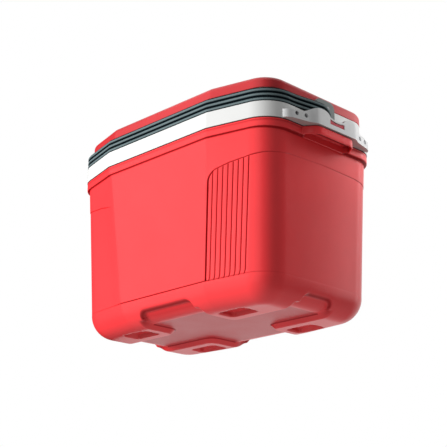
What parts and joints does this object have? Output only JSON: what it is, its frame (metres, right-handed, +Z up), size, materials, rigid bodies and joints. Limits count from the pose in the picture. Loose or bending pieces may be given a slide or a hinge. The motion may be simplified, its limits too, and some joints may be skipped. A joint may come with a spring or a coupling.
{
  "type": "vaccine carrier",
  "caption": "Rigid foam-insulated carrier box with a hinged lid, a folding bail handle locked by side buttons, side finger grips, a footed base and ice packs inside.",
  "frame": {"origin": "centre of the footprint, on the plane that the feet stand on", "axes": "+Z up, X along the long side, -Y towards the front, where the handle lies folded"},
  "size_m": [0.528, 0.3218, 0.366],
  "materials": {
    "red_plastic": "satin",
    "button_plastic": "satin",
    "white_plastic": "satin",
    "liner_plastic": "satin",
    "foam": "matte",
    "handle_plastic": "satin",
    "rubber": "matte",
    "ice_pack": "satin",
    "pack_cap": "satin",
    "steel": "satin"
  },
  "bodies": {
    "box": {"body_insulation": "foam", "bracket_screws": "steel", "handle_pin_left": "steel", "handle_pin_right": "steel", "hinge_body_leaf_left": "steel", "hinge_body_leaf_right": "steel", "hinge_body_screws": "steel", "hinge_pin_left": "steel", "hinge_pin_right": "steel", "ice_pack_1": "ice_pack", "ice_pack_2": "ice_pack", "ice_pack_3": "ice_pack", "ice_pack_4": "ice_pack", "ice_pack_5": "ice_pack", "ice_pack_6": "ice_pack", "ice_pack_caps": "pack_cap", "inner_liner": "liner_plastic", "outer_shell": "red_plastic", "rim_frame": "white_plastic", "side_bracket_left": "white_plastic", "side_bracket_right": "white_plastic"},
    "lid": {"hinge_lid_leaf_left": "steel", "hinge_lid_leaf_right": "steel", "hinge_lid_screws": "steel", "lid_cap": "red_plastic", "lid_gasket": "rubber", "lid_insulation": "foam", "lid_tray": "white_plastic"},
    "handle": {"handle_arm_left": "handle_plastic", "handle_arm_right": "handle_plastic", "handle_bar": "handle_plastic", "handle_corner_1_left": "handle_plastic", "handle_corner_1_right": "handle_plastic", "handle_corner_2_left": "handle_plastic", "handle_corner_2_right": "handle_plastic", "handle_corner_3_left": "handle_plastic", "handle_corner_3_right": "handle_plastic", "handle_corner_4_left": "handle_plastic", "handle_corner_4_right": "handle_plastic", "handle_facet_left": "handle_plastic", "handle_facet_right": "handle_plastic"},
    "lock_button_right": {"lock_button_right": "button_plastic"},
    "lock_button_left": {"lock_button_left": "button_plastic"}
  },
  "joints": [
    {"name": "lid_hinge", "type": "hinge", "parent": "box", "child": "lid", "pos_m": [0, 0.1556, 0.3246], "axis": [-1, 0, 0], "range_deg": [0, 110]},
    {"name": "handle_swing", "type": "hinge", "parent": "box", "child": "handle", "pos_m": [0, 0, 0.336], "axis": [-1, 0, 0], "range_deg": [0, 90]},
    {"name": "button_right_press", "type": "slide", "parent": "box", "child": "lock_button_right", "axis": [-1, 0, 0], "range_m": [0, 0.0022], "stiffness_N_per_m": 400, "springref_m": -0.004},
    {"name": "button_left_press", "type": "slide", "parent": "box", "child": "lock_button_left", "axis": [1, 0, 0], "range_m": [0, 0.0022], "stiffness_N_per_m": 400, "springref_m": -0.004}
  ]
}
